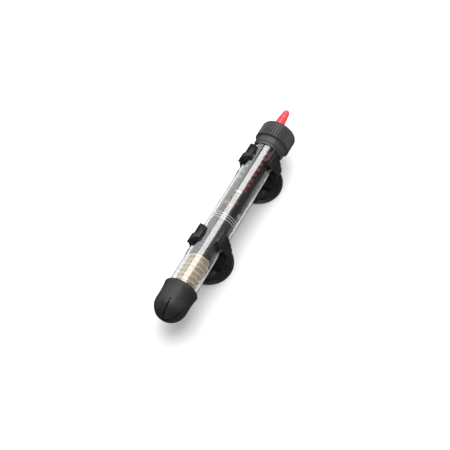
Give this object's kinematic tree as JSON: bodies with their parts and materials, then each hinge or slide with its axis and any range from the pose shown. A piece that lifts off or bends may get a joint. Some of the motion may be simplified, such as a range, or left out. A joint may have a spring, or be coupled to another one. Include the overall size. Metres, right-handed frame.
{
  "type": "submersible aquarium heater",
  "caption": "Slim glass tube heater with a wound core, a thermostat with a printed scale and a turning knob, a ribbed cap, a domed guard and suction cups on spring clips.",
  "frame": {"origin": "under the middle of the heater's length, on the plane that the suction cups' rims lie on", "axes": "+Y along the heater from the bottom guard to the knob, +Z from the suction cups up through the glass tube, +X towards the cable gland's side"},
  "size_m": [0.0368, 0.195, 0.038],
  "materials": {
    "clear_glass": "polished clear tube",
    "black_rubber": "satin moulded",
    "black_cap": "satin moulded",
    "red_knob": "translucent moulded",
    "steel": "bright drawn",
    "white_pointer": "moulded",
    "scale_print": "printed sleeve",
    "dark_holder": "moulded",
    "core_ceramic": "fired former with wound wire",
    "coil_sleeving": "braided glass sleeving",
    "insulator": "fired",
    "lead_copper": "drawn",
    "wire_sheath": "silicone sheath",
    "bimetal": "rolled strip",
    "contact_metal": "plated",
    "magnet_iron": "sintered",
    "lamp_glass": "neon lamp",
    "resistor_body": "lacquered",
    "black_clip": "satin moulded",
    "black_cup": "glossy moulded"
  },
  "bodies": {
    "heater": {"bimetal_post": "insulator", "blade_rivet": "steel", "bottom_guard": "black_rubber", "bracket_spacer": "insulator", "cable_gland": "black_rubber", "coil_lead_lower": "lead_copper", "coil_lead_upper": "lead_copper", "contact_bracket": "contact_metal", "crimp_sleeves": "lead_copper", "fixed_contact": "contact_metal", "glass_tube": "clear_glass", "heater_core": "core_ceramic", "heating_coil": "coil_sleeving", "holder_collar": "dark_holder", "lamp_resistor": "resistor_body", "link_wire": "wire_sheath", "live_wire": "wire_sheath", "lower_disc": "insulator", "lower_holder": "dark_holder", "magnet": "magnet_iron", "neutral_wire": "wire_sheath", "pilot_lamp": "lamp_glass", "scale_sleeve": "scale_print", "shaft_o_ring": "black_rubber", "stopper": "black_rubber", "stopper_o_rings": "black_rubber", "thermostat_frame": "steel", "tie_rod": "steel", "tie_rod_nut": "steel", "top_cap": "black_cap", "upper_disc": "insulator"},
    "adjuster": {"knob": "red_knob", "adjusting_shaft": "steel", "shaft_retainer": "steel"},
    "pointer": {"pointer": "white_pointer"},
    "blade": {"bimetal_blade": "bimetal", "moving_contact": "contact_metal"},
    "upper_clip": {"clip_upper": "black_clip"},
    "lower_clip": {"clip_lower": "black_clip"},
    "upper_cup": {"cup_upper": "black_cup"},
    "lower_cup": {"cup_lower": "black_cup"}
  },
  "joints": [
    {"name": "knob_turn", "type": "hinge", "parent": "heater", "child": "adjuster", "pos_m": [-0.0035, 0.08, 0.0245], "axis": [0, 1, 0], "range_deg": [-120.5, 2310.5]},
    {"name": "pointer_slide", "type": "slide", "parent": "heater", "child": "pointer", "axis": [0, 1, 0], "range_m": [-0.002, 0.0385]},
    {"name": "blade_flex", "type": "hinge", "parent": "heater", "child": "blade", "pos_m": [0.0023, -0.0075, 0.02215], "axis": [1, 0, 0], "range_deg": [0, 1.5], "stiffness_Nm_per_rad": 0.02, "springref_deg": -11.46},
    {"name": "upper_clip_slide", "type": "slide", "parent": "heater", "child": "upper_clip", "axis": [0, 1, 0], "range_m": [-0.018, 0.0003]},
    {"name": "lower_clip_slide", "type": "slide", "parent": "heater", "child": "lower_clip", "axis": [0, 1, 0], "range_m": [-0.026, 0.018]},
    {"name": "upper_cup_turn", "type": "hinge", "parent": "upper_clip", "child": "upper_cup", "pos_m": [0, 0.0448, 0.005], "axis": [0, 0, 1], "continuous": true},
    {"name": "lower_cup_turn", "type": "hinge", "parent": "lower_clip", "child": "lower_cup", "pos_m": [0, -0.0319, 0.005], "axis": [0, 0, 1], "continuous": true}
  ],
  "couplings": [
    {"joint": "knob_turn", "follows": "pointer_slide", "rad_per_m": 1047.2}
  ]
}
